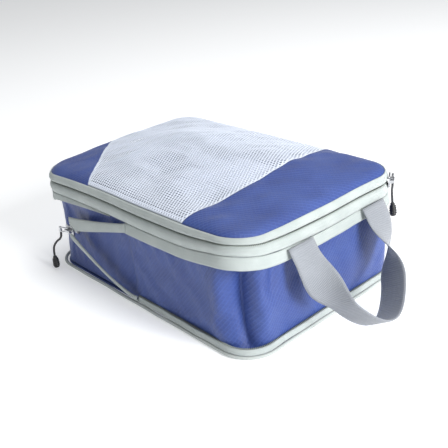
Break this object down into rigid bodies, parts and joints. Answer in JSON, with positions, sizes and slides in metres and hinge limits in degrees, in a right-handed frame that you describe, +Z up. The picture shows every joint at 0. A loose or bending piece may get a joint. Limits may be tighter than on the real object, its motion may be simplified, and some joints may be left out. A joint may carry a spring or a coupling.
{
  "type": "compression packing cube",
  "caption": "Soft zipped packing case with a mesh-window lid, an expansion gusset closed by a second zipper, a webbing carry handle and cord zipper pulls",
  "frame": {"origin": "centre of the underside of the bottom panel, the face it rests on", "axes": "+X along the long side to the handle, +Y to the lid's fabric hinge, +Z up"},
  "size_m": [0.3202, 0.2041, 0.1091],
  "materials": {
    "blue_nylon": "ripstop nylon, faint sheen",
    "white_mesh": "knitted polyester mesh with round holes",
    "zipper_tape": "woven polyester zipper tape",
    "zipper_coil": "nylon coil",
    "seam_binding": "folded binding tape",
    "webbing": "woven nylon webbing",
    "slider_metal": "nickel-plated die casting",
    "black_cord": "braided cord",
    "black_plastic": "moulded cord end"
  },
  "bodies": {
    "tray": {"bottom_panel": "blue_nylon", "bottom_piping": "seam_binding", "bottom_seam_binding": "seam_binding", "compression_tape_lower": "zipper_tape", "compression_coil_lower": "zipper_coil", "gusset_panel": "blue_nylon", "compression_tape_end_lower": "zipper_tape"},
    "lid_frame": {"main_tape_lower": "zipper_tape", "hinge_strip_lower": "zipper_tape", "main_coil_lower": "zipper_coil", "compression_tape_upper": "zipper_tape", "compression_coil_upper": "zipper_coil", "rim_seam_binding": "seam_binding", "left_trim_strip": "zipper_tape", "compression_tape_end_upper": "zipper_tape", "handle_tail_front": "webbing", "handle_tail_back": "webbing"},
    "lid": {"main_tape_upper": "zipper_tape", "hinge_strip_upper": "zipper_tape", "main_coil_upper": "zipper_coil", "lid_mesh_window": "white_mesh", "lid_panel_left": "blue_nylon", "lid_panel_right": "blue_nylon", "lid_seam_binding": "seam_binding", "window_seam_left": "seam_binding", "window_seam_right": "seam_binding"},
    "handle": {"handle_webbing": "webbing"},
    "compression_slider": {"compression_slider": "slider_metal"},
    "compression_pull": {"compression_pull_tab": "slider_metal", "compression_pull_cord": "black_cord", "compression_pull_end": "black_plastic"},
    "main_slider": {"main_slider": "slider_metal"},
    "main_pull": {"main_pull_tab": "slider_metal", "main_pull_cord": "black_cord", "main_pull_end": "black_plastic"}
  },
  "joints": [
    {"name": "compression", "type": "slide", "parent": "tray", "child": "lid_frame", "axis": [0, 0, 1], "range_m": [-0.0583, 0], "deforming": ["gusset_panel", "compression_tape_end_lower", "compression_tape_end_upper"]},
    {"name": "lid_hinge", "type": "hinge", "parent": "lid_frame", "child": "lid", "pos_m": [0, 0.0898, 0.0865], "axis": [-1, 0, 0], "range_deg": [0, 180]},
    {"name": "handle_swing", "type": "hinge", "parent": "lid_frame", "child": "handle", "pos_m": [0.1336, 0.009, 0.0774], "axis": [0, -1, 0], "range_deg": [0, 140]},
    {"name": "compression_slider_run", "type": "slide", "parent": "tray", "child": "compression_slider", "axis": [0.9839, 0, -0.1787], "range_m": [0, 0.1881]},
    {"name": "compression_pull_swing", "type": "hinge", "parent": "compression_slider", "child": "compression_pull", "pos_m": [-0.0912, -0.0926, 0.043], "axis": [0, 0, 1], "range_deg": [-14, 130]},
    {"name": "main_slider_run", "type": "hinge", "parent": "lid_frame", "child": "main_slider", "pos_m": [0.106, 0.0635, 0.0865], "axis": [0, 0, 1], "range_deg": [-34, 0]},
    {"name": "main_pull_swing", "type": "hinge", "parent": "main_slider", "child": "main_pull", "pos_m": [0.1308, 0.07878, 0.0865], "axis": [0, 0, 1], "range_deg": [-106, 4]}
  ],
  "couplings": [
    {"joint": "compression_slider_run", "follows": "compression", "ratio": -3.2252}
  ]
}
